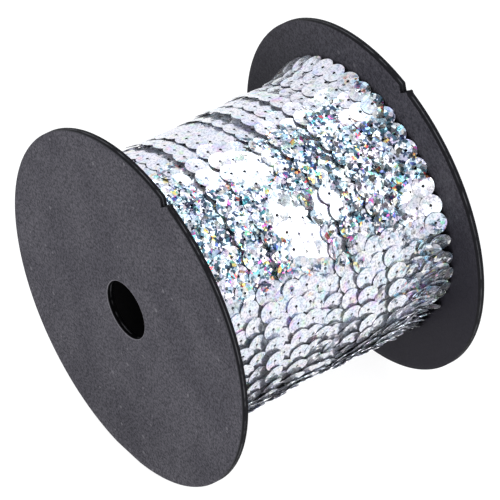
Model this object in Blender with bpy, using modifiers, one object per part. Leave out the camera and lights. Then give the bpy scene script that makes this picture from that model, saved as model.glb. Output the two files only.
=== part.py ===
"""Sequin trim on a spool.

A flat strand of sewn 6 mm sequins is wound in one band between two thin flanges on a hollow core.
The spool lies on its flange rims with its axis along X.
"""

import math

import bmesh
import bpy
from mathutils import Matrix

# Spool, in metres
FLANGE_RADIUS = 0.050
FLANGE_THICKNESS = 0.0022
FLANGE_CHAMFER = 0.0002
SPOOL_WIDTH = 0.0784
BORE_RADIUS = 0.00825
CORE_RADIUS = 0.011
SEAT_GAP = 0.0003
ROUND_STEPS = 128

# Each flange has one small V slit in its rim, and a flat spot that it rests on
SLIT_ANGLE = math.radians(70.5)
SLIT_DEPTH = 0.0030
SLIT_HALF_WIDTH = 0.00055
REST_FLAT_DEPTH = 0.00025
REST_CUTTER_SIZE = 0.12

# The axis height puts the flat spots on the surface
AXIS_HEIGHT = FLANGE_RADIUS - REST_FLAT_DEPTH
INNER_FACE_X = SPOOL_WIDTH / 2 - FLANGE_THICKNESS

# Wound trim
SEQUIN_RADIUS = 0.0030
SEQUINS_A_TURN = 47
BASE_RADIUS = 0.0362
RIB_CROWN = 0.00035
RIB_EDGE = 0.00040
SCALLOP = 0.00024
STEP_WIDTH = 0.00012
MM = 0.001

# One row for each strand of the outer layer, from the left flange to the right one, in millimetres:
# its centre where it faces the front, its centre where it passes over the top, and its lift above the base
STRAND_ROWS = (
    (-33.6, -33.6, 1.2),
    (-28.2, -29.0, 0.4),
    (-24.4, -23.0, 0.6),
    (-18.9, -16.4, 1.0),
    (-15.8, -13.6, 0.2),
    (-11.0, -10.4, 0.9),
    (-6.3, -7.2, 0.6),
    (-3.1, -4.6, 0.3),
    (0.3, -2.2, 0.0),
    (5.8, 0.6, 0.5),
    (11.1, 6.6, 0.9),
    (15.3, 12.0, 0.4),
    (20.8, 17.6, 1.0),
    (24.2, 22.5, 0.5),
    (27.4, 27.0, 0.7),
    (30.6, 30.6, 1.4),
    (34.0, 34.0, 2.9),
)
TOP_ANGLE = math.radians(115)
TOP_HALF_SPAN = math.radians(100)

# Paint-free finishes: colour, roughness, metallic
FINISHES = {
    "flange_left": ((0.080, 0.077, 0.090, 1), 0.62, 0.0),
    "flange_right": ((0.080, 0.077, 0.090, 1), 0.62, 0.0),
    "core": ((0.020, 0.020, 0.022, 1), 0.75, 0.0),
    "winding": ((0.78, 0.78, 0.83, 1), 0.24, 0.85),
}


def clear_scene():
    for thing in list(bpy.data.objects):
        bpy.data.objects.remove(thing)


def new_collection(name):
    collection = bpy.data.collections.new(name)
    bpy.context.scene.collection.children.link(collection)
    return collection


def new_object(name, mesh, collection):
    thing = bpy.data.objects.new(name, mesh)
    collection.objects.link(thing)
    return thing


def set_finish(thing):
    colour, roughness, metallic = FINISHES[thing.name]
    material = bpy.data.materials.new(thing.name + "_finish")
    material.use_nodes = True
    shader = material.node_tree.nodes["Principled BSDF"]
    shader.inputs["Base Color"].default_value = colour
    shader.inputs["Roughness"].default_value = roughness
    shader.inputs["Metallic"].default_value = metallic
    material.diffuse_color = colour
    thing.data.materials.append(material)


def profile_mesh(name, points):
    """A closed outline in the XZ plane, ready for a Screw modifier."""
    mesh = bpy.data.meshes.new(name)
    count = len(points)
    edges = [(i, (i + 1) % count) for i in range(count)]
    mesh.from_pydata([(radius, 0, height) for radius, height in points], edges, [])
    return mesh


def turned_ring(name, points, centre_x, collection):
    """A ring turned about the spool's axis, from an outline of (radius, place along the axis)."""
    thing = new_object(name, profile_mesh(name, points), collection)
    screw = thing.modifiers.new("Turn", "SCREW")
    screw.axis = "Z"
    screw.angle = 2 * math.pi
    screw.steps = ROUND_STEPS
    screw.render_steps = ROUND_STEPS
    screw.use_merge_vertices = True
    screw.merge_threshold = 0.00001
    screw.use_smooth_shade = True
    thing.rotation_euler = (0, math.pi / 2, 0)
    thing.location = (centre_x, 0, AXIS_HEIGHT)
    return thing


def add_cut(thing, cutter, name):
    cut = thing.modifiers.new(name, "BOOLEAN")
    cut.operation = "DIFFERENCE"
    cut.solver = "EXACT"
    cut.object = cutter


def hide_cutter(cutter):
    cutter.hide_render = True
    cutter.display_type = "WIRE"


def slit_cutter(name, centre_x, collection):
    """A diamond-section bar across the rim, whose inner half cuts the V slit."""
    shape = bmesh.new()
    bmesh.ops.create_cone(
        shape, cap_ends=True, segments=4, radius1=1, radius2=1, depth=3 * FLANGE_THICKNESS
    )
    bmesh.ops.scale(shape, vec=(SLIT_DEPTH, SLIT_HALF_WIDTH, 1), verts=shape.verts)
    along_axis = Matrix.Rotation(math.pi / 2, 4, "Y")
    to_slit = Matrix.Rotation(-SLIT_ANGLE, 4, "X")
    out_of_rim = Matrix.Translation((0, -FLANGE_RADIUS, 0)) @ Matrix.Rotation(math.pi / 2, 4, "X")
    bmesh.ops.transform(shape, matrix=to_slit @ out_of_rim @ along_axis, verts=shape.verts)
    mesh = bpy.data.meshes.new(name)
    shape.to_mesh(mesh)
    shape.free()
    cutter = new_object(name, mesh, collection)
    cutter.location = (centre_x, 0, AXIS_HEIGHT)
    hide_cutter(cutter)
    return cutter


def rest_cutter(collection):
    """A block below the surface, which takes the flat spots off both rims."""
    shape = bmesh.new()
    bmesh.ops.create_cube(shape, size=REST_CUTTER_SIZE)
    mesh = bpy.data.meshes.new("rest_cutter")
    shape.to_mesh(mesh)
    shape.free()
    cutter = new_object("rest_cutter", mesh, collection)
    cutter.location = (0, 0, -REST_CUTTER_SIZE / 2)
    hide_cutter(cutter)
    return cutter


def make_flange(name, side, rest, collection, cutters):
    half = FLANGE_THICKNESS / 2
    outline = (
        (FLANGE_RADIUS - FLANGE_CHAMFER, half),
        (FLANGE_RADIUS, half - FLANGE_CHAMFER),
        (FLANGE_RADIUS, -half + FLANGE_CHAMFER),
        (FLANGE_RADIUS - FLANGE_CHAMFER, -half),
        (BORE_RADIUS, -half),
        (BORE_RADIUS, half),
    )
    centre_x = side * (SPOOL_WIDTH - FLANGE_THICKNESS) / 2
    flange = turned_ring(name, outline, centre_x, collection)
    add_cut(flange, slit_cutter(name + "_slit_cutter", centre_x, cutters), "Slit")
    add_cut(flange, rest, "Rest")
    return flange


def make_core(collection):
    half = INNER_FACE_X - SEAT_GAP
    outline = (
        (CORE_RADIUS, half),
        (CORE_RADIUS, -half),
        (BORE_RADIUS, -half),
        (BORE_RADIUS, half),
    )
    return turned_ring("core", outline, 0, collection)


def top_share(angle):
    """How far a strand has moved from its front place to its top place, from 0 to 1."""
    away = abs(math.remainder(angle - TOP_ANGLE, 2 * math.pi))
    return 0.5 + 0.5 * math.cos(math.pi * min(1, away / TOP_HALF_SPAN))


def strand_centres(angle):
    share = top_share(angle)
    return [(front + share * (top - front)) * MM for front, top, lift in STRAND_ROWS]


def strand_borders(centres):
    """The place along the axis where each strand gives way to the next: the higher one hides the lower."""
    borders = []
    for i in range(len(centres) - 1):
        left_on_top = STRAND_ROWS[i][2] > STRAND_ROWS[i + 1][2]
        edge = centres[i] + SEQUIN_RADIUS if left_on_top else centres[i + 1] - SEQUIN_RADIUS
        middle = (centres[i] + centres[i + 1]) / 2
        borders.append((edge + middle) / 2)
    return borders


def winding_section(step, steps):
    """The outline of the wound trim at one angle, as (place along the axis, radius) points."""
    angle = 2 * math.pi * step / steps
    end = INNER_FACE_X - SEAT_GAP
    borders = [-end, *strand_borders(strand_centres(angle)), end]
    points = [(-end, CORE_RADIUS + SEAT_GAP)]
    for i, (front, top, lift) in enumerate(STRAND_ROWS):
        scallop = SCALLOP if (step + i) % 2 else -SCALLOP
        radius = BASE_RADIUS + lift * MM + scallop
        left = borders[i] + (STEP_WIDTH if i else 0)
        right = borders[i + 1] - (STEP_WIDTH if i < len(STRAND_ROWS) - 1 else 0)
        points.append((left, radius - RIB_EDGE))
        points.append(((left + right) / 2, radius + RIB_CROWN))
        points.append((right, radius - RIB_EDGE))
    points.append((end, CORE_RADIUS + SEAT_GAP))
    return points


def make_winding(collection):
    """The wound body: a loft of its ribbed sections round the core, two for each sequin."""
    steps = 2 * SEQUINS_A_TURN
    shape = bmesh.new()
    rings = []
    for step in range(steps):
        angle = 2 * math.pi * step / steps
        ring = []
        for x, radius in winding_section(step, steps):
            place = (x, -radius * math.cos(angle), AXIS_HEIGHT + radius * math.sin(angle))
            ring.append(shape.verts.new(place))
        rings.append(ring)
    for step, ring in enumerate(rings):
        after = rings[(step + 1) % steps]
        for i in range(len(ring)):
            j = (i + 1) % len(ring)
            shape.faces.new((ring[i], ring[j], after[j], after[i]))
    bmesh.ops.triangulate(shape, faces=shape.faces)
    bmesh.ops.recalc_face_normals(shape, faces=shape.faces)
    mesh = bpy.data.meshes.new("winding")
    shape.to_mesh(mesh)
    shape.free()
    return new_object("winding", mesh, collection)


def main():
    clear_scene()
    parts = new_collection("sequin_trim_spool")
    cutters = new_collection("cutters")
    rest = rest_cutter(cutters)
    pieces = [
        make_flange("flange_left", -1, rest, parts, cutters),
        make_flange("flange_right", 1, rest, parts, cutters),
        make_core(parts),
        make_winding(parts),
    ]
    for piece in pieces:
        set_finish(piece)


main()
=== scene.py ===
"""Looks of the sequin trim on its spool: single sewn sequins, their threads, and the moulded flanges."""

import math
import random

import bmesh
import bpy
import numpy as np
from mathutils import Matrix, Vector


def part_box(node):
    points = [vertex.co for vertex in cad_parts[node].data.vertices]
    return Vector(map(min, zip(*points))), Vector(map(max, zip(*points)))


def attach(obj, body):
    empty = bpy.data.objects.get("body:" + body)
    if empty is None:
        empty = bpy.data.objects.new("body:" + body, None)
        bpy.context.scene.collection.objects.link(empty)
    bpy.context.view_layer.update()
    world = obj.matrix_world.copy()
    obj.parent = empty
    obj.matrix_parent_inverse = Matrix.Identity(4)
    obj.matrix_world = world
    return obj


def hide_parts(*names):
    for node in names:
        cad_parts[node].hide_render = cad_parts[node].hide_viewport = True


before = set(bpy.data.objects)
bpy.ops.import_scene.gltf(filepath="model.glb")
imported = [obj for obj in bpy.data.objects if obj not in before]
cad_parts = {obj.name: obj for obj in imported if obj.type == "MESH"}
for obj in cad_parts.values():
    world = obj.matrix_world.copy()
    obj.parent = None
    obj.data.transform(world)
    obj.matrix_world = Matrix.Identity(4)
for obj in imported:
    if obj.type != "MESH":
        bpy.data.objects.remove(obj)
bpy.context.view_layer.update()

MM = 0.001

# Sizes read from the frame
flange_low, flange_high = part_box("flange_left")
winding_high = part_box("winding")[1]
core_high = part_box("core")[1]
FLANGE_RADIUS = (flange_high.y - flange_low.y) / 2
SPOOL_HALF_WIDTH = -flange_low.x
INNER_FACE_X = -flange_high.x
AXIS_HEIGHT = flange_high.z - FLANGE_RADIUS
CORE_RADIUS = core_high.y
WINDING_END_X = winding_high.x

# The flanges' look: 0 degrees of turn faces -Y and 90 degrees faces up
FLANGE_STEPS = 240
EDGE_ROUND = 0.25 * MM
BORE_ROUND = 0.10 * MM
RIM_BAND = 2.5 * MM
HARD_EDGE = math.radians(40)
BORE_RADIUS = 8.25 * MM
TUBE_STEPS = FLANGE_STEPS // 2

# The slit in each rim, and the burr that stands up beside it
SLIT_ANGLE = math.radians(70.5)
SLIT_DEPTH = 2.0 * MM
SLIT_HALF_WIDTH = 1.35 * MM
SLIT_STEPS = 9
SLIT_STEPS_A_HALF = 3
BURR = 0.55 * MM
BURR_PLACE = -1.7 * MM
BURR_WIDTH = 0.4 * MM

# The charcoal, from its darkest grain to its lightest: outer faces, then the rims and the faces toward
# the roll, both in painted shade
CHARCOAL = ((0.033, 0.0322, 0.0385, 1), (0.101, 0.0970, 0.1120, 1))
CHARCOAL_RIM_SHADE = ((0.004, 0.004, 0.005, 1), (0.012, 0.0115, 0.014, 1))
CHARCOAL_INNER_SHADE = ((0.008, 0.0072, 0.0105, 1), (0.022, 0.0205, 0.0275, 1))
# Painted shade: the bore wall is near black
BORE_WALL_SHADE = (0.001, 0.001, 0.0012, 1)
DUST = (0.17, 0.165, 0.18, 1)
SEAM_LINE = (0.055, 0.055, 0.060, 1)
# A painted highlight along the rim's outer edge
RIM_EDGE_HIGHLIGHT = (0.040, 0.040, 0.045, 1)
# A painted highlight round the bore's edge on the outer faces
BORE_EDGE_HIGHLIGHT = (0.16, 0.155, 0.17, 1)
# Painted shade: the tube is near black
TUBE_SHADE_BLACK = ((0.0010, 0.0010, 0.0011, 1), (0.0035, 0.0034, 0.0038, 1))
SEAM_DEPTH = 1.15 * MM
SEAM_HALF_WIDTH = 0.16 * MM
EDGE_HIGHLIGHT_BAND = 0.3 * MM
INNER_FACE_BAND = 0.2 * MM
BORE_LINE_WIDTH = 0.22 * MM
BORE_LINE_DEPTH = 0.12 * MM

# Thread, packed foil and floor, from their darkest grain to their lightest; the packed foil is darkened
# as painted shade
THREAD = ((0.35, 0.35, 0.38, 1), (0.72, 0.72, 0.76, 1))
PACKED_FOIL_SHADE = ((0.10, 0.11, 0.13, 1), (0.30, 0.31, 0.36, 1))
FLOOR_GREY = ((0.20, 0.20, 0.20, 1), (0.22, 0.22, 0.22, 1))

# The camera, from the two flange rims, the hole and the roll's outline in the photograph, with its
# direction from the spool in degrees
CAMERA_AZIMUTH = -36.8
CAMERA_ELEVATION = 40.5
CAMERA_DISTANCE = FLANGE_RADIUS / 0.035
CAMERA_RIGHT = 0.0129 * FLANGE_RADIUS
CAMERA_UP = 0.0048 * FLANGE_RADIUS
FRAME_PIXELS = 500
PIXELS_PER_RADIUS = 191.634
SENSOR_MM = 36.0

# One sequin
SEQUIN_RADIUS = 3.0 * MM
HOLE_RADIUS = 0.42 * MM
SEQUIN_THICKNESS = 0.10 * MM
CUP_DEPTH = 0.13 * MM
SEQUIN_RINGS = (HOLE_RADIUS, 1.7 * MM, 2.7 * MM, SEQUIN_RADIUS)
SEQUIN_STEPS = 28
UNDER_RINGS = (HOLE_RADIUS, 2.0 * MM, SEQUIN_RADIUS)
UNDER_STEPS = 18
SEQUINS_A_TURN = 47
PITCH_ANGLE = 2 * math.pi / SEQUINS_A_TURN
SHINGLE_TILT = math.radians(5.0)

# Patches where the strands lie flat and even, and mirror a light as one: place along the axis in
# millimetres, angle in degrees and half width in millimetres. Elsewhere the strands lean to and fro by
# LEAN, in waves round the roll, each given as waves a turn and share of LEAN.
FLAT_PATCHES = (
    (-5.5, 77, 7.5),
    (-4.0, 53, 6.5),
    (-2.0, 38, 6.0),
    (8.0, 50, 4.8),
    (31.0, 80, 6.0),
    (34.0, 34, 7.0),
    (-17.0, 84, 5.0),
)
LEAN = math.radians(4.0)
SIDE_WAVES = ((5, 1.0), (11, 0.6))
UP_WAVES = ((6, 0.5), (13, 0.3))

# A patch's reach in half widths, for the lean and for the painted reflection of the foil's sparks, and
# how much flatter it lies
LEAN_REACH = 1.6
PATCH_REACH = 1.15
PATCH_EDGE = 0.70
PATCH_EASE = 0.5

# By the right flange, low on the front, the strands are crammed and their sequins stand on edge. Places
# along the axis are in millimetres, and the painted glints are given as a patch is.
CRAM_PITCH = math.radians(13.0)
CRAM_ROLL = math.radians(7.0)
CRAM_FROM_X = 23.0
CRAM_FULL_X = 29.0
CRAM_TOP = math.radians(23)
CRAM_TOP_RAMP = math.radians(9)
CRAM_BOTTOM = math.radians(-45)
CRAM_BOTTOM_RAMP = math.radians(12)
CRAM_GLINTS = (31.0, 4, 11.0)

# Short lengths of strand pressed in between there: place along the axis and lift in millimetres, and
# the angles that each runs over in degrees. Both ends dive, by CRAMMED_DIVE in millimetres, and their
# sequins follow closer, by CRAMMED_PITCH.
CRAMMED_ROWS = (
    (25.9, 0.6, -58, 16),
    (28.9, 1.0, -62, 21),
    (31.3, 1.5, -60, 25),
    (33.2, 1.9, -64, 20),
)
CRAMMED_DIVE = 1.6
CRAMMED_DIVE_SPAN = math.radians(14)
CRAMMED_PITCH = 0.86
CRAMMED_PITCH_SPREAD = 0.06

# The roll sinks in there, between these places along the axis in millimetres and between these angles
DROP_FROM_X = 24.0
DROP_FULL_X = 34.0
DROP_TOP = math.radians(-3)
DROP_FULL = math.radians(-26)
DROP_END = math.radians(-100)
DROP = 3.0 * MM

# Over the top the strands lie calm, as in ribbons
CALM_FROM = math.radians(88)
CALM_TO = math.radians(160)
CALM_RAMP = math.radians(14)
CALM_EASE = 0.4

# Low on the front each sequin stands further off the one above it
LOW_TILT = math.radians(2.5)
LOW_TOP = math.radians(28)
LOW_BOTTOM = math.radians(-110)
LOW_RAMP = math.radians(14)

# How chance moves and tilts single sequins: standard deviations in millimetres and degrees
SIDE_SPREAD = 0.12
HEIGHT_SPREAD = 0.05
ANGLE_SPREAD = 0.25
ROLL_SPREAD = 1.6
PITCH_SPREAD = 1.8
CRAM_ROLL_SPREAD = 11
CRAM_PITCH_SPREAD = 6
CRAMMED_SIDE_SPREAD = 0.2

# The foil: facets a metre, how far they tilt, and how much further in the zone of painted reflection
COARSE_FACETS = 740
FINE_FACETS = 1400
SPECKS = 1500
FACET_TILT = 0.05
COARSE_PLAY = 0.66
FINE_PLAY = 0.20
REFLECTION_ZONE_ANGLE = math.radians(59)
SILVER = ((0.57, 0.59, 0.62, 1), (0.825, 0.825, 0.832, 1))
# Painted reflections of the dark opening overhead
DARK_REFLECTION_FACETS = ((0.012, 0.022, 0.075, 1), (0.035, 0.105, 0.135, 1))
# The share of facets that some copies of the foil darken, as painted shade
SHADE_SPECK_SHARE = 0.55
SEQUIN_SHARP_ANGLE = math.radians(35)

# The foil's faint tints and its sparks: place on the ramp and colour
TINT_HUES = (
    (0.00, (0.72, 0.92, 0.98, 1)),
    (0.28, (1.0, 1.0, 1.0, 1)),
    (0.62, (0.84, 0.84, 1.0, 1)),
    (0.76, (1.0, 0.89, 0.93, 1)),
    (0.88, (1.0, 0.98, 0.84, 1)),
)
SPARK_HUES = (
    (0.00, (0.05, 0.08, 0.30, 1)),
    (0.16, (0.46, 0.78, 0.95, 1)),
    (0.34, (0.07, 0.34, 0.38, 1)),
    (0.46, (0.62, 0.06, 0.08, 1)),
    (0.54, (0.85, 0.33, 0.10, 1)),
    (0.61, (0.96, 0.80, 0.24, 1)),
    (0.70, (0.22, 0.60, 0.40, 1)),
    (0.79, (0.50, 0.58, 0.95, 1)),
    (0.90, (0.60, 0.10, 0.36, 1)),
)

# Over the top some strands, counted from 0 at the left flange, stand up on their left edge
EDGE_UP_ROWS = (3, 9, 10, 12, 13)
EDGE_UP = math.radians(9.0)
EDGE_UP_SPAN = math.radians(45)

# One row for each strand of the outer layer, from the left flange to the right one:
# centre at the front and over the top in millimetres, lift above the base in millimetres,
# sideways tilt in degrees (right edge up is positive), and the angle of one sequin in degrees
BASE_RADIUS = 36.2 * MM
STRAND_ROWS = (
    (-33.6, -33.6, 1.2, 0, 2.0),
    (-28.6, -28.6, 0.4, 2, 6.3),
    (-24.2, -23.2, 0.6, -3, 1.4),
    (-18.9, -16.4, 1.0, -2, 5.0),
    (-15.8, -13.6, 0.2, 3, 6.0),
    (-11.0, -10.4, 0.9, -1, 2.2),
    (-6.3, -7.2, 0.6, 2, 0.9),
    (-3.1, -4.6, 0.3, 2, 5.6),
    (0.6, -2.2, 0.1, 2, 3.4),
    (6.0, 0.7, 0.5, -4, 1.3),
    (11.1, 6.3, 0.9, -2, 7.5),
    (16.0, 11.7, 0.6, -4, 2.9),
    (20.6, 16.9, 1.0, 0, 3.3),
    (24.7, 22.1, 0.6, 2, 0.2),
    (27.7, 26.7, 0.9, 3, 1.5),
    (30.6, 30.6, 1.5, 10, 1.3),
    (34.0, 34.0, 2.9, 21, 1.2),
)
TOP_ANGLE = math.radians(115)
TOP_HALF_SPAN = math.radians(100)

# The layer below, seen in the gaps between the strands. Each of its strands starts at an angle of chance
# within one sequin's step, in degrees.
UNDER_RADIUS = 36.0 * MM
UNDER_STRANDS = 15
UNDER_PIECES = 3
UNDER_MARGIN = 0.2 * MM
UNDER_PHASE_RANGE = 7.6

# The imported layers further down
BED_RADIUS = 34.4 * MM
BED_RIB = 0.25 * MM
BED_GAP = 0.3 * MM
BED_STEPS = 96
BED_SHARP_ANGLE = math.radians(50)

FLOOR_RADIUS = 4.0
FLOOR_GLOW = 0.88

# The light tent: the middle of its opening and of its bright side, as azimuth and elevation in degrees.
# The opening's edge fades between two angles from its middle, in degrees.
OPENING = (60, 62)
OPENING_EDGE = (50, 34)
PANELS = 7.0
PANEL_CONTRAST = 1.7
PANEL_GLOW = 2.3
PANEL_DIM = 0.04
BRIGHT_SIDE = (152, 15)
PALE = (0.84, 0.84, 0.88, 1)
BRIGHT = (1.12, 1.12, 1.17, 1)

# Where the bright side begins and where it is full, as cosines of the angle from its middle
BRIGHT_EDGE = (0.55, 0.90)

# Area lights: name, azimuth and elevation in degrees, distance and size in metres, power and colour
LIGHTS = (
    ("key", 34, 34, 1.5, 1.05, 7.8, (1.0, 0.97, 0.93)),
    ("top", 112, 59, 1.5, 0.80, 5.0, (1.0, 1.0, 1.0)),
    ("left", -62, 12, 1.6, 0.90, 11.0, (1.0, 1.0, 1.0)),
    ("beside_camera", -15, 21, 1.5, 0.50, 1.5, (1.0, 0.97, 0.92)),
)


def outward(angle):
    return Vector((0, -math.cos(angle), math.sin(angle)))


def up_strand(angle):
    return Vector((0, math.sin(angle), math.cos(angle)))


def top_share(angle):
    away = abs(math.remainder(angle - TOP_ANGLE, 2 * math.pi))
    return 0.5 + 0.5 * math.cos(math.pi * min(1, away / TOP_HALF_SPAN))


def strand_x(row, angle):
    front, top = row[0], row[1]
    return (front + top_share(angle) * (top - front)) * MM


def strand_slope(row, angle):
    """How fast a strand drifts along the axis as it runs up round the roll."""
    step = 0.02
    return (strand_x(row, angle + step) - strand_x(row, angle - step)) / (2 * step * BASE_RADIUS)


def link(thing):
    bpy.context.scene.collection.objects.link(thing)
    return thing


def ring_faces(rings, steps):
    """Quads between each ring of points and the next one, with the last ring joined to the first."""
    faces = []
    for ring in range(rings):
        after = (ring + 1) % rings
        for step in range(steps):
            next_step = (step + 1) % steps
            here, there = ring * steps, after * steps
            faces.append((here + step, here + next_step, there + next_step, there + step))
    return faces


def mesh_object(name, verts, faces, smooth_angle=None):
    mesh = bpy.data.meshes.new(name)
    mesh.from_pydata(verts, [], faces)
    mesh.shade_smooth()
    if smooth_angle is not None:
        mesh.set_sharp_from_angle(angle=smooth_angle)
    mesh.update()
    return link(bpy.data.objects.new(name, mesh))


class Nodes:
    """Short calls for building the nodes of a material or a world."""

    def __init__(self, owner):
        owner.use_nodes = True
        self.tree = owner.node_tree

    def add(self, kind, **settings):
        node = self.tree.nodes.new(kind)
        for key, value in settings.items():
            setattr(node, key, value)
        return node

    def link(self, source, target):
        self.tree.links.new(source, target)

    def socket(self, node, name, value):
        """Sets an input, or links it when the value is another node's output."""
        if isinstance(value, bpy.types.NodeSocket):
            self.link(value, node.inputs[name])
        else:
            node.inputs[name].default_value = value

    def math(self, operation, first, second=0.0, third=None):
        node = self.add("ShaderNodeMath", operation=operation)
        self.socket(node, 0, first)
        self.socket(node, 1, second)
        if third is not None:
            self.socket(node, 2, third)
        return node.outputs[0]

    def vector(self, operation, first, second=None, scale=None):
        node = self.add("ShaderNodeVectorMath", operation=operation)
        self.socket(node, 0, first)
        if second is not None:
            self.socket(node, 1, second)
        if scale is not None:
            self.socket(node, "Scale", scale)
        return node.outputs["Value" if operation in ("DISTANCE", "DOT_PRODUCT", "LENGTH") else "Vector"]

    def mix(self, factor, first, second, blend="MIX"):
        node = self.add("ShaderNodeMix", data_type="RGBA", blend_type=blend)
        self.socket(node, 0, factor)
        self.socket(node, 6, first)
        self.socket(node, 7, second)
        return node.outputs[2]

    def ramp(self, value, low, high, to_low=0.0, to_high=1.0):
        node = self.add("ShaderNodeMapRange", interpolation_type="SMOOTHSTEP")
        self.socket(node, "Value", value)
        node.inputs["From Min"].default_value = low
        node.inputs["From Max"].default_value = high
        node.inputs["To Min"].default_value = to_low
        node.inputs["To Max"].default_value = to_high
        return node.outputs["Result"]

    def noise(self, coords, scale, detail=2.0, roughness=0.5):
        node = self.add("ShaderNodeTexNoise")
        self.link(coords, node.inputs["Vector"])
        node.inputs["Scale"].default_value = scale
        node.inputs["Detail"].default_value = detail
        node.inputs["Roughness"].default_value = roughness
        return node.outputs["Fac"]

    def cells(self, coords, scale):
        node = self.add("ShaderNodeTexVoronoi", feature="F1")
        self.link(coords, node.inputs["Vector"])
        node.inputs["Scale"].default_value = scale
        return node

    def bump(self, height, strength, distance):
        node = self.add("ShaderNodeBump")
        self.link(height, node.inputs["Height"])
        node.inputs["Strength"].default_value = strength
        node.inputs["Distance"].default_value = distance
        return node.outputs["Normal"]

    def channels(self, colour):
        node = self.add("ShaderNodeSeparateColor")
        self.link(colour, node.inputs[0])
        return node.outputs

    def axes(self, vector):
        node = self.add("ShaderNodeSeparateXYZ")
        self.link(vector, node.inputs[0])
        return node.outputs

    def steps(self, value, hues):
        """A ramp of flat colour steps, each from its place on."""
        node = self.add("ShaderNodeValToRGB")
        node.color_ramp.interpolation = "CONSTANT"
        stops = node.color_ramp.elements
        stops[0].color = hues[0][1]
        stops[1].position, stops[1].color = hues[1]
        for position, colour in hues[2:]:
            stops.new(position).color = colour
        self.link(value, node.inputs[0])
        return node.outputs[0]

    def times(self, colour, factors):
        """The colour times the factors, channel by channel."""
        return self.mix(1.0, colour, factors, blend="MULTIPLY")


class Surface(Nodes):
    """The nodes of a new material, with its shader and its object coordinates."""

    def __init__(self, name):
        self.material = bpy.data.materials.new(name)
        super().__init__(self.material)
        self.shader = self.tree.nodes["Principled BSDF"]
        self.coords = self.add("ShaderNodeTexCoord").outputs["Object"]

    def link_to(self, name, source):
        self.link(source, self.shader.inputs[name])

    def set(self, name, value):
        self.shader.inputs[name].default_value = value

    def turned_normal(self, turns):
        """The surface's normal, turned by each pair of a random vector and its weight."""
        normal = self.add("ShaderNodeNewGeometry").outputs["Normal"]
        for turn, weight in turns:
            normal = self.vector("ADD", normal, self.vector("SCALE", turn, scale=weight))
        return self.vector("NORMALIZE", normal)


def patch_distance(n, coords, patch, ragged):
    """Distance from a patch's middle in shares of its half width, with a ragged edge."""
    patch_x, patch_angle, half = patch
    centre = outward(math.radians(patch_angle)) * BASE_RADIUS + Vector((patch_x * MM, 0, AXIS_HEIGHT))
    away = n.math("DIVIDE", n.vector("DISTANCE", coords, tuple(centre)), half * MM)
    return n.math("ADD", away, n.math("MULTIPLY", ragged, 1.6))


def painted_reflection_mask(n, coords):
    """Painted reflection: where on the roll the foil's colour breaks into dark and coloured sparks, as if
    mirroring the dark opening overhead: strongest on two sides of it, cleared in the flat patches and
    raised into painted glints by the right flange.
    """
    place = n.axes(coords)
    height = n.math("SUBTRACT", place["Z"], AXIS_HEIGHT)
    front = n.math("MULTIPLY", place["Y"], -1.0)
    angle = n.math("ARCTAN2", height, front)
    wave = n.math("COSINE", n.math("MULTIPLY", n.math("SUBTRACT", angle, REFLECTION_ZONE_ANGLE), 2.0))
    ragged = n.math("SUBTRACT", n.noise(coords, 190, 2.0), 0.5)
    reflection_zone = n.ramp(n.math("ADD", wave, n.math("MULTIPLY", ragged, 1.8)), 0.25, 0.75)
    for patch in FLAT_PATCHES:
        around = n.ramp(patch_distance(n, coords, patch, ragged), PATCH_EDGE, PATCH_REACH)
        reflection_zone = n.math("MULTIPLY", reflection_zone, around)
    glints = patch_distance(n, coords, CRAM_GLINTS, ragged)
    return n.math("MAXIMUM", reflection_zone, n.ramp(glints, PATCH_EDGE, PATCH_REACH, 0.55, 0.0))


def speckled_silver(n, coords):
    """Pale silver with a fine grain and soft spots of pastel."""
    pastel = n.add("ShaderNodeCombineColor", mode="HSV")
    n.link(n.math("FRACT", n.math("MULTIPLY", n.noise(coords, 150, 1.0), 3.0)), pastel.inputs[0])
    n.link(n.ramp(n.noise(coords, 340, 1.0), 0.52, 0.74, 0.01, 0.22), pastel.inputs[1])
    pastel.inputs[2].default_value = 1.0
    speck = n.ramp(n.cells(coords, SPECKS).outputs["Distance"], 0.15, 0.75)
    speck = n.math("MULTIPLY_ADD", n.noise(coords, 900, 1.0), 0.6, n.math("MULTIPLY", speck, 0.4))
    return n.times(n.mix(n.ramp(speck, 0.30, 0.66), *SILVER), pastel.outputs[0])


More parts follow.
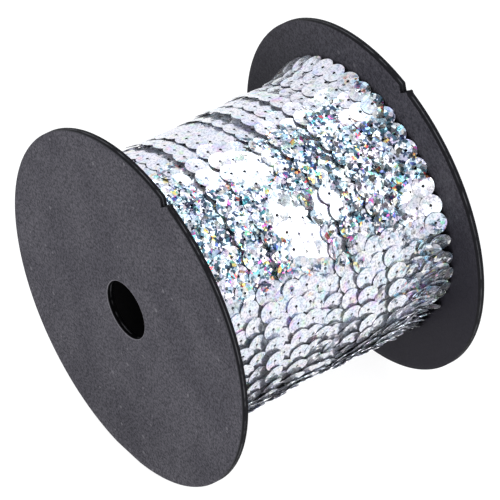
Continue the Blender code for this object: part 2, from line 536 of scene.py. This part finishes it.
def sequin_material(name, metallic, painted_shading, speck_shade=1.0):
    """Silver holographic foil: mirror-bright, broken into small facets of random tilt and hue.

    The third argument scales the brightness of all of it, which paints light onto the copies where it is
    above 1, and the fourth scales the brightness of the facets picked by chance, which paints shade onto
    them where it is below 1."""
    n = Surface(name)
    coords = n.coords
    reflection_zone = painted_reflection_mask(n, coords)
    coarse = n.cells(coords, COARSE_FACETS).outputs["Color"]
    fine = n.cells(coords, FINE_FACETS).outputs["Color"]
    coarse_pick = n.channels(coarse)
    fine_pick = n.channels(fine)

    coarse_turn = n.vector("SUBTRACT", coarse, (0.5, 0.5, 0.5))
    fine_turn = n.vector("SUBTRACT", fine, (0.5, 0.5, 0.5))
    coarse_tilt = n.math("MULTIPLY_ADD", reflection_zone, COARSE_PLAY, FACET_TILT)
    fine_tilt = n.math("MULTIPLY_ADD", reflection_zone, FINE_PLAY, FACET_TILT)
    n.link_to("Normal", n.turned_normal(((coarse_turn, coarse_tilt), (fine_turn, fine_tilt))))

    # Each coarse facet has a faint tint, stronger in the zone of painted reflection
    silver = speckled_silver(n, coords)
    tinted = n.times(silver, n.steps(coarse_pick[1], TINT_HUES))
    foil = n.mix(n.math("MULTIPLY_ADD", reflection_zone, 0.65, 0.35), silver, tinted)

    # A few facets spark in a full colour, most of them in the zone of painted reflection
    drift = n.ramp(n.noise(coords, 120, 1.0), 0.35, 0.65)
    shuffle = n.math("MULTIPLY_ADD", drift, 0.5, n.math("MULTIPLY", coarse_pick[0], 2.6))
    shuffle = n.math("FRACT", n.math("MULTIPLY_ADD", fine_pick[1], 0.14, shuffle))
    rare = n.math("GREATER_THAN", coarse_pick[2], n.math("MULTIPLY_ADD", drift, -0.16, 0.91))
    vivid = n.math("MULTIPLY", rare, n.math("MULTIPLY_ADD", reflection_zone, 0.90, 0.04))
    foil = n.mix(vivid, foil, n.steps(shuffle, SPARK_HUES))

    # Painted reflection: fine facets are dark in clumps in that zone, as if mirroring the dark opening
    clump = n.ramp(n.noise(coords, 230, 1.0), 0.40, 0.60, 0.10, 0.46)
    dark = n.math("LESS_THAN", fine_pick[0], clump)
    dark = n.math("MULTIPLY", dark, n.math("MULTIPLY", reflection_zone, 0.93))
    foil = n.mix(dark, foil, n.mix(coarse_pick[0], *DARK_REFLECTION_FACETS))

    # Painted light: some copies of the foil are brightened all over, and painted shade darkens chosen
    # facets
    foil = n.times(foil, (painted_shading, painted_shading, 1.03 * painted_shading, 1))
    shade_specked = n.math("LESS_THAN", coarse_pick[2], SHADE_SPECK_SHARE)
    foil = n.mix(shade_specked, foil, n.times(foil, (speck_shade, speck_shade, 1.04 * speck_shade, 1)))
    n.link_to("Base Color", foil)
    n.set("Metallic", metallic)
    n.link_to("Roughness", n.math("MULTIPLY_ADD", n.noise(coords, 700, 2.0), 0.10, 0.13))
    return n.material


def thread_material():
    n = Surface("sewing_thread")
    twist = n.noise(n.coords, 9000, 1.0)
    n.link_to("Base Color", n.mix(twist, *THREAD))
    n.set("Roughness", 0.6)
    n.link_to("Normal", n.bump(twist, 0.4, 0.0001))
    return n.material


def flange_material():
    """Moulded charcoal with a fine mottled grain, darker with painted shade on the rim, the bore wall and
    the faces toward the roll, with painted highlights along the rim's outer edge and round the bore.
    """
    n = Surface("mottled_charcoal")
    coords = n.coords
    grain = n.noise(coords, 1500, 4.0, 0.75)
    cloud = n.noise(coords, 70, 3.0)
    place = n.axes(coords)
    width = n.math("ABSOLUTE", place["X"])
    height = n.math("SUBTRACT", place["Z"], AXIS_HEIGHT)

    colour = n.mix(n.ramp(grain, 0.36, 0.64), *CHARCOAL)
    colour = n.mix(n.ramp(cloud, 0.35, 0.65), colour, n.times(colour, (0.80, 0.80, 0.82, 1)))
    dust = n.cells(coords, 300)
    dust_size = n.math("MULTIPLY_ADD", n.channels(dust.outputs["Color"])[1], 0.30, -0.12)
    fleck = n.math("LESS_THAN", dust.outputs["Distance"], dust_size)
    colour = n.mix(n.math("MULTIPLY", fleck, 0.55), colour, DUST)
    low = n.ramp(height, -45 * MM, -5 * MM, 0.25, 0.0)
    colour = n.mix(low, colour, n.times(colour, (0.55, 0.55, 0.55, 1)))
    # Painted shade on the faces toward the roll, strongest low down
    inside = n.math("LESS_THAN", width, INNER_FACE_X + INNER_FACE_BAND)
    painted_shading = n.ramp(height, -5 * MM, 44 * MM, 0.95, 0.30)
    colour = n.mix(n.math("MULTIPLY", inside, painted_shading), colour, n.mix(grain, *CHARCOAL_INNER_SHADE))

    # Painted shade on the rims, and near black painted shade on the bore wall
    facing = n.axes(n.add("ShaderNodeNewGeometry").outputs["True Normal"])
    rim = n.math("LESS_THAN", n.math("ABSOLUTE", facing["X"]), 0.5)
    across = n.add("ShaderNodeCombineXYZ")
    n.link(place["Y"], across.inputs[1])
    n.link(height, across.inputs[2])
    radius = n.vector("LENGTH", across.outputs[0])
    bore_wall = n.math("LESS_THAN", radius, BORE_RADIUS + MM)
    colour = n.mix(rim, colour, n.mix(bore_wall, n.mix(grain, *CHARCOAL_RIM_SHADE), BORE_WALL_SHADE))
    off_seam = n.math("ABSOLUTE", n.math("SUBTRACT", width, SPOOL_HALF_WIDTH - SEAM_DEPTH))
    worn = n.ramp(n.noise(coords, 300, 2.0), 0.35, 0.6)
    seam = n.math("MULTIPLY", n.math("LESS_THAN", off_seam, SEAM_HALF_WIDTH), worn)
    colour = n.mix(n.math("MULTIPLY", rim, seam), colour, SEAM_LINE)
    # A painted highlight along the rim's outer edge
    edge = n.math("GREATER_THAN", width, SPOOL_HALF_WIDTH - EDGE_HIGHLIGHT_BAND)
    colour = n.mix(n.math("MULTIPLY", rim, edge), colour, RIM_EDGE_HIGHLIGHT)
    # A painted highlight round the bore's edge on the outer faces
    bore_edge = n.math("LESS_THAN", radius, BORE_RADIUS + BORE_LINE_WIDTH)
    at_face = n.math("GREATER_THAN", width, SPOOL_HALF_WIDTH - BORE_LINE_DEPTH)
    bore_edge = n.math("MULTIPLY", bore_edge, at_face)
    n.link_to("Base Color", n.mix(n.math("MULTIPLY", bore_edge, 0.8), colour, BORE_EDGE_HIGHLIGHT))

    dull = n.math("MULTIPLY_ADD", inside, -0.12, 0.52)
    n.link_to("Roughness", n.math("MULTIPLY_ADD", grain, 0.20, dull))
    n.set("Specular IOR Level", 0.04)
    n.link_to("Normal", n.bump(grain, 0.6, 0.0003))
    return n.material


def core_material():
    # Painted shade: the tube is near black
    n = Surface("tube_in_painted_shade")
    grain = n.noise(n.coords, 800, 3.0, 0.6)
    n.link_to("Base Color", n.mix(grain, *TUBE_SHADE_BLACK))
    n.link_to("Roughness", n.math("MULTIPLY_ADD", grain, 0.15, 0.62))
    n.set("Specular IOR Level", 0.05)
    n.link_to("Normal", n.bump(grain, 0.3, 0.0002))
    return n.material


def bed_material():
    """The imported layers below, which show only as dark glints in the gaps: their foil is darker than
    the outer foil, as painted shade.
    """
    n = Surface("packed_foil_in_shade")
    turn = n.vector("SUBTRACT", n.cells(n.coords, 420).outputs["Color"], (0.5, 0.5, 0.5))
    n.link_to("Normal", n.turned_normal(((turn, 0.9),)))
    n.link_to("Base Color", n.mix(n.noise(n.coords, 500), *PACKED_FOIL_SHADE))
    n.set("Metallic", 0.9)
    n.set("Roughness", 0.35)
    return n.material


def sequin_shape(steps, rings):
    """A cupped disc with a centre hole: its points and faces about the origin, facing +Z."""
    top = [(radius, CUP_DEPTH * (radius / SEQUIN_RADIUS) ** 2) for radius in rings]
    low = [(rings[-1], top[-1][1] - SEQUIN_THICKNESS), (rings[0], top[0][1] - SEQUIN_THICKNESS)]
    outline = top + low
    verts = []
    for radius, height in outline:
        for step in range(steps):
            turn = 2 * math.pi * step / steps
            verts.append((radius * math.cos(turn), radius * math.sin(turn), height))
    faces = [(a, d, c, b) for a, b, c, d in ring_faces(len(outline), steps)]
    return np.array(verts), faces


def stamp(shape, places):
    """All copies of one shape at the places, as one list of points and one of faces."""
    verts, faces = shape
    all_verts, all_faces = [], []
    for rotation, position in places:
        offset = len(verts) * len(all_verts)
        all_verts.append(verts @ np.array(rotation).T + np.array(position))
        all_faces.extend(tuple(index + offset for index in face) for face in faces)
    return np.concatenate(all_verts).tolist(), all_faces


def sequin_place(x, radius, angle, drift, roll, pitch):
    """Where one sequin sits: its rotation and its centre.

    The rotation's columns point across the strand, up along it and outward."""
    out = outward(angle)
    along = (up_strand(angle) + Vector((drift, 0, 0))).normalized()
    across = along.cross(out).normalized()
    along = (along * math.cos(pitch) + out * math.sin(pitch)).normalized()
    out = across.cross(along)
    across = across * math.cos(roll) + out * math.sin(roll)
    out = across.cross(along).normalized()
    rotation = Matrix((across, along, out)).transposed()
    centre = Vector((x, 0, AXIS_HEIGHT)) + outward(angle) * radius
    return rotation, centre


def flat_share(x, angle):
    """1 inside a patch where the strands lie flat, falling to 0 around it."""
    share = 0.0
    for patch_x, patch_angle, half in FLAT_PATCHES:
        along = math.remainder(angle - math.radians(patch_angle), 2 * math.pi) * BASE_RADIUS / MM
        away = math.hypot(x / MM - patch_x, along) / half
        share = max(share, min(1.0, max(0.0, (LEAN_REACH - away) / (LEAN_REACH - 1))))
    return share


def cram_share(x, angle):
    """1 where the strands are crammed by the right flange, 0 elsewhere."""
    across = min(1.0, max(0.0, (x / MM - CRAM_FROM_X) / (CRAM_FULL_X - CRAM_FROM_X)))
    angle = math.remainder(angle, 2 * math.pi)
    below_top = min(1.0, max(0.0, (CRAM_TOP - angle) / CRAM_TOP_RAMP))
    above_bottom = min(1.0, max(0.0, (angle - CRAM_BOTTOM) / CRAM_BOTTOM_RAMP))
    return across * below_top * above_bottom


def smooth(value):
    value = min(1.0, max(0.0, value))
    return value * value * (3 - 2 * value)


def end_drop(x, angle):
    """How far the roll sinks in by the right flange, low on the front."""
    angle = math.remainder(angle, 2 * math.pi)
    across = smooth((x / MM - DROP_FROM_X) / (DROP_FULL_X - DROP_FROM_X))
    down = smooth((DROP_TOP - angle) / (DROP_TOP - DROP_FULL))
    back = smooth((angle - DROP_END) / (DROP_FULL - DROP_END))
    return DROP * across * down * back


def crammed_tilts(cram, rng):
    """The extra pitch and roll of a crammed sequin."""
    pitch = cram * (CRAM_PITCH + math.radians(rng.gauss(0, CRAM_PITCH_SPREAD)))
    roll = cram * (CRAM_ROLL + math.radians(rng.gauss(0, CRAM_ROLL_SPREAD)))
    return pitch, roll


def calm_share(angle):
    """1 over the top, where the strands lie as in ribbons, 0 elsewhere."""
    return smooth((angle - CALM_FROM) / CALM_RAMP) * smooth((CALM_TO - angle) / CALM_RAMP)


def low_share(angle):
    """1 low on the front, where each sequin stands off the one above it, 0 elsewhere."""
    angle = math.remainder(angle, 2 * math.pi)
    return smooth((LOW_TOP - angle) / LOW_RAMP) * smooth((angle - LOW_BOTTOM) / LOW_RAMP)


def edge_up_tilt(angle):
    """How far a raised strand stands up on its left edge."""
    away = abs(math.remainder(angle - TOP_ANGLE, 2 * math.pi))
    return EDGE_UP * max(0.0, math.cos(0.5 * math.pi * min(1.0, away / EDGE_UP_SPAN)))


def lean(angle, waves, phases):
    """How far a strand leans at an angle, from its waves and their phases."""
    total = 0.0
    for (count, share), phase in zip(waves, phases):
        total += share * math.sin(count * angle + phase)
    return LEAN * total


def strand_places(row, rng, raised=False):
    """Where the sequins of one strand sit, all the way round the roll."""
    lift, roll, phase = row[2:]
    side_phases = [rng.uniform(0, 2 * math.pi) for _ in SIDE_WAVES]
    up_phases = [rng.uniform(0, 2 * math.pi) for _ in UP_WAVES]
    places = []
    for k in range(SEQUINS_A_TURN):
        angle = math.radians(phase) + k * PITCH_ANGLE + rng.gauss(0, math.radians(ANGLE_SPREAD))
        x = strand_x(row, angle) + rng.gauss(0, SIDE_SPREAD) * MM
        radius = BASE_RADIUS + lift * MM + rng.gauss(0, HEIGHT_SPREAD) * MM - end_drop(x, angle)
        calm = calm_share(angle)
        flat = flat_share(x, angle)
        cram = cram_share(x, angle)
        loose = (1.0 - flat) * (1.0 - calm)
        lean_side = lean(angle, SIDE_WAVES, side_phases) + math.radians(rng.gauss(0, ROLL_SPREAD))
        lean_up = lean(angle, UP_WAVES, up_phases) + math.radians(rng.gauss(0, PITCH_SPREAD))
        pitch, side = crammed_tilts(cram, rng)
        tilt_side = math.radians(roll) + loose * lean_side
        if raised:
            tilt_side -= edge_up_tilt(angle)
        tilt_side = tilt_side * (1 - cram) + side
        tilt_up = SHINGLE_TILT * (1 - CALM_EASE * calm) * (1 - PATCH_EASE * flat)
        tilt_up += LOW_TILT * (low_share(angle) * (1 - cram))
        tilt_up += loose * lean_up
        tilt_up += pitch
        places.append(sequin_place(x, radius, angle, strand_slope(row, angle), tilt_side, tilt_up))
    return places


def stitch_shape():
    """The thread that shows at a sequin's hole: out of the hole and down under the next sequin's edge."""
    width = 0.07 * MM
    flatness = 0.8
    path = [
        (0.05 * MM, -0.25 * MM, -0.15 * MM),
        (0.0, -0.40 * MM, 0.10 * MM),
        (0.0, -0.90 * MM, 0.14 * MM),
        (-0.03 * MM, -1.20 * MM, 0.10 * MM),
        (-0.05 * MM, -1.50 * MM, 0.00 * MM),
    ]
    verts, faces = [], []
    corners = ((-1, 0), (0, 1), (1, 0), (0, -1))
    for x, y, z in path:
        for side, rise in corners:
            verts.append((x + side * width, y, z + rise * width * flatness))
    for i in range(len(path) - 1):
        for c in range(4):
            d = (c + 1) % 4
            faces.append((4 * i + c, 4 * i + d, 4 * i + 4 + d, 4 * i + 4 + c))
    faces.append((1, 2, 3, 0))
    last = 4 * (len(path) - 1)
    faces.append((last + 3, last + 2, last + 1, last))
    return np.array(verts), faces


def make_strands(foil, thread):
    """The outer layer, one piece for each strand, and the stitches of all of them as one piece."""
    rng = random.Random(7)
    shape = sequin_shape(SEQUIN_STEPS, SEQUIN_RINGS)
    stitches = []
    for index, row in enumerate(STRAND_ROWS):
        places = strand_places(row, rng, index in EDGE_UP_ROWS)
        strand = mesh_object(f"strand_{index + 1:02d}", *stamp(shape, places), SEQUIN_SHARP_ANGLE)
        strand.data.materials.append(foil)
        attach(strand, "root")
        stitches.extend(places)
    sewn = mesh_object("stitches", *stamp(stitch_shape(), stitches))
    sewn.data.materials.append(thread)
    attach(sewn, "root")


def make_crammed_strands(foil):
    """Short lengths that surface between the strands by the right flange and dive under at both ends."""
    rng = random.Random(23)
    places = []
    for x, lift, low, high in CRAMMED_ROWS:
        start, end = math.radians(low), math.radians(high)
        angle = start
        while angle < end:
            ends = min(angle - start, end - angle) / CRAMMED_DIVE_SPAN
            dive = CRAMMED_DIVE * (1 - smooth(ends))
            radius = BASE_RADIUS + (lift - dive) * MM - end_drop(x * MM, angle)
            pitch, side = crammed_tilts(1.0, rng)
            place_x = (x + rng.gauss(0, CRAMMED_SIDE_SPREAD)) * MM
            places.append(sequin_place(place_x, radius, angle, 0.0, side, SHINGLE_TILT + pitch))
            angle += CRAMMED_PITCH * PITCH_ANGLE * (1 + rng.gauss(0, CRAMMED_PITCH_SPREAD))
    shape = sequin_shape(SEQUIN_STEPS, SEQUIN_RINGS)
    crammed = mesh_object("crammed_strands", *stamp(shape, places), SEQUIN_SHARP_ANGLE)
    crammed.data.materials.append(foil)
    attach(crammed, "root")


def make_under_layer(foil):
    """The strands below the outer ones, shared out over a few pieces."""
    rng = random.Random(11)
    shape = sequin_shape(UNDER_STEPS, UNDER_RINGS)
    reach = WINDING_END_X - SEQUIN_RADIUS - UNDER_MARGIN
    lift = (UNDER_RADIUS - BASE_RADIUS) / MM
    rows = []
    for k in range(UNDER_STRANDS):
        x = -reach + 2 * reach * k / (UNDER_STRANDS - 1)
        rows.append((x / MM, x / MM, lift, 0, rng.uniform(0, UNDER_PHASE_RANGE)))
    for piece in range(UNDER_PIECES):
        places = []
        for row in rows[piece::UNDER_PIECES]:
            places.extend(strand_places(row, rng))
        layer = mesh_object(f"under_layer_{piece + 1}", *stamp(shape, places), SEQUIN_SHARP_ANGLE)
        layer.data.materials.append(foil)
        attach(layer, "root")


def turned_mesh(name, outline, steps, smooth_angle):
    """A closed ring about the spool's axis, from an outline of (place along the axis, radius)."""
    verts = []
    for x, radius in outline:
        for step in range(steps):
            turn = 2 * math.pi * step / steps
            verts.append((x, -radius * math.cos(turn), AXIS_HEIGHT + radius * math.sin(turn)))
    return mesh_object(name, verts, ring_faces(len(outline), steps), smooth_angle)


def make_bed(material):
    """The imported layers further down, softly ribbed. They close the roll inwards and at its ends."""
    ribs = 2 * UNDER_STRANDS
    outline = [(-WINDING_END_X, CORE_RADIUS + BED_GAP)]
    for k in range(ribs + 1):
        x = -WINDING_END_X + 2 * WINDING_END_X * k / ribs
        outline.append((x, BED_RADIUS + (BED_RIB if k % 2 else -BED_RIB)))
    outline.append((WINDING_END_X, CORE_RADIUS + BED_GAP))
    bed = turned_mesh("packed_layers", outline, BED_STEPS, BED_SHARP_ANGLE)
    for vert in bed.data.vertices:
        front, height = -vert.co.y, vert.co.z - AXIS_HEIGHT
        radius = math.hypot(front, height)
        if radius > BED_RADIUS - MM:
            share = 1 - end_drop(vert.co.x, math.atan2(height, front)) / radius
            vert.co.y = -front * share
            vert.co.z = AXIS_HEIGHT + height * share
    bed.data.materials.append(material)
    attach(bed, "root")
    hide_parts("winding")


def rim_radius(turn):
    """The flange's outer radius at an angle: round, flat where it rests, with one slit and its burr."""
    radius = FLANGE_RADIUS
    down = math.cos(turn + math.pi / 2)
    if down * radius > AXIS_HEIGHT:
        radius = AXIS_HEIGHT / down
    away = (turn - SLIT_ANGLE) * FLANGE_RADIUS
    radius -= SLIT_DEPTH * max(0.0, 1 - abs(away) / SLIT_HALF_WIDTH)
    return radius + BURR * math.exp(-(((away - BURR_PLACE) / BURR_WIDTH) ** 2))


def make_flange(side, material):
    """One flange as a polar grid of rings, with rounded edges at the rim and the bore."""
    turns = [2 * math.pi * step / FLANGE_STEPS for step in range(FLANGE_STEPS)]
    for k in range(-SLIT_STEPS, SLIT_STEPS + 1):
        turns.append(SLIT_ANGLE + k * SLIT_HALF_WIDTH / FLANGE_RADIUS / SLIT_STEPS_A_HALF)
    turns.sort()
    bevel = 0.3 * EDGE_ROUND
    rings = []
    for inset, depth in ((0, EDGE_ROUND), (bevel, bevel), (EDGE_ROUND, 0), (RIM_BAND, 0)):
        rings.append(("rim", inset, depth))
    for share in (0.75, 0.5, 0.25):
        rings.append(("web", share, 0))
    for inset, depth in ((BORE_ROUND, 0), (0, BORE_ROUND)):
        rings.append(("bore", inset, depth))
    outer_x = side * SPOOL_HALF_WIDTH
    inner_x = side * INNER_FACE_X
    outline = [(kind, share, outer_x - side * depth) for kind, share, depth in rings]
    outline += [(kind, share, inner_x + side * depth) for kind, share, depth in reversed(rings)]
    verts = []
    for kind, share, x in outline:
        for turn in turns:
            edge = rim_radius(turn)
            if kind == "rim":
                radius = edge - share
            elif kind == "web":
                radius = BORE_RADIUS + share * (FLANGE_RADIUS - RIM_BAND - BORE_RADIUS)
            else:
                radius = BORE_RADIUS + share
            verts.append((x, -radius * math.cos(turn), AXIS_HEIGHT + radius * math.sin(turn)))
    faces = ring_faces(len(outline), len(turns))
    if side < 0:
        faces = [face[::-1] for face in faces]
    name = "flange_right" if side > 0 else "flange_left"
    disc = mesh_object(name + "_disc", verts, faces, HARD_EDGE)
    disc.data.materials.append(material)
    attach(disc, "root")
    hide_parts(name)


def make_core(material):
    """The hollow tube, which meets both flanges, so that no light leaks in between."""
    outline = [(-INNER_FACE_X, BORE_RADIUS), (-INNER_FACE_X, CORE_RADIUS)]
    outline += [(INNER_FACE_X, CORE_RADIUS), (INNER_FACE_X, BORE_RADIUS)]
    tube = turned_mesh("core_tube", outline, TUBE_STEPS, HARD_EDGE)
    tube.data.materials.append(material)
    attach(tube, "root")
    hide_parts("core")


def make_camera():
    view = direction(CAMERA_AZIMUTH, CAMERA_ELEVATION)
    right = (-view).cross(Vector((0, 0, 1))).normalized()
    up = right.cross(-view)
    data = bpy.data.cameras.new("camera")
    data.sensor_width = SENSOR_MM
    data.lens = PIXELS_PER_RADIUS * CAMERA_DISTANCE / FLANGE_RADIUS / FRAME_PIXELS * SENSOR_MM
    data.clip_start = 0.05
    data.clip_end = 100
    camera = link(bpy.data.objects.new("camera", data))
    centre = Vector((0, 0, AXIS_HEIGHT))
    camera.location = centre + view * CAMERA_DISTANCE + right * CAMERA_RIGHT + up * CAMERA_UP
    camera.rotation_mode = "QUATERNION"
    camera.rotation_quaternion = (-view).to_track_quat("-Z", "Y")
    bpy.context.scene.camera = camera


def make_floor():
    n = Surface("pale_floor")
    n.link_to("Base Color", n.mix(n.noise(n.coords, 3, 2.0), *FLOOR_GREY))
    n.set("Roughness", 0.8)
    n.set("Specular IOR Level", 0.1)
    n.set("Emission Color", (1, 1, 1, 1))
    n.set("Emission Strength", FLOOR_GLOW)
    shape = bmesh.new()
    bmesh.ops.create_circle(shape, cap_ends=True, segments=96, radius=FLOOR_RADIUS)
    mesh = bpy.data.meshes.new("floor")
    shape.to_mesh(mesh)
    shape.free()
    floor = link(bpy.data.objects.new("floor", mesh))
    floor.data.materials.append(n.material)


def make_light(name, azimuth, elevation, distance, size, power, colour):
    """A soft square light at a direction from the spool, aimed at it."""
    aim = direction(azimuth, elevation)
    data = bpy.data.lights.new(name, "AREA")
    data.shape = "SQUARE"
    data.size = size
    data.energy = power
    data.color = colour
    light = link(bpy.data.objects.new(name, data))
    light.location = Vector((0, 0, AXIS_HEIGHT)) + aim * distance
    light.rotation_mode = "QUATERNION"
    light.rotation_quaternion = (-aim).to_track_quat("-Z", "Y")


def direction(azimuth, elevation):
    a, e = math.radians(azimuth), math.radians(elevation)
    return Vector((math.sin(a) * math.cos(e), -math.cos(a) * math.cos(e), math.sin(e)))


def make_world():
    """A light tent, pale all round, with a wide dim opening overhead in which soft panels hang."""
    world = bpy.data.worlds.new("studio")
    bpy.context.scene.world = world
    n = Nodes(world)
    coords = n.add("ShaderNodeTexCoord").outputs["Generated"]
    toward = n.vector("DOT_PRODUCT", coords, tuple(direction(*OPENING)))
    far, near = (math.cos(math.radians(edge)) for edge in OPENING_EDGE)
    opening = n.ramp(toward, far, near)
    pick = n.channels(n.cells(coords, PANELS).outputs["Color"])
    glow = n.math("MULTIPLY_ADD", n.math("POWER", pick[0], PANEL_CONTRAST), PANEL_GLOW, PANEL_DIM)
    panels = n.add("ShaderNodeCombineColor")
    n.link(n.math("MULTIPLY", glow, 0.86), panels.inputs[0])
    n.link(n.math("MULTIPLY", glow, 0.97), panels.inputs[1])
    n.link(n.math("MULTIPLY_ADD", glow, 1.0, 0.02), panels.inputs[2])
    behind = n.ramp(n.vector("DOT_PRODUCT", coords, tuple(direction(*BRIGHT_SIDE))), *BRIGHT_EDGE)
    light = n.mix(opening, n.mix(behind, PALE, BRIGHT), panels.outputs[0])
    n.link(light, n.tree.nodes["Background"].inputs[0])
    n.tree.nodes["Background"].inputs[1].default_value = 1.0


def main():
    make_camera()
    make_world()
    for light in LIGHTS:
        make_light(*light)
    make_floor()
    foil = sequin_material("holographic_foil", metallic=0.88, painted_shading=1.0)
    make_strands(foil, thread_material())
    # The crammed and the lower sequins take brightened copies of the foil, as painted light, with chosen
    # facets darkened as painted shade
    make_crammed_strands(sequin_material("hazy_foil_painted_light", metallic=0.15, painted_shading=1.2, speck_shade=0.5))
    make_under_layer(sequin_material("shaded_foil", metallic=0.35, painted_shading=1.05, speck_shade=0.5))
    make_bed(bed_material())
    charcoal = flange_material()
    make_flange(-1, charcoal)
    make_flange(1, charcoal)
    make_core(core_material())
    bpy.context.scene.view_settings.view_transform = "Standard"


main()
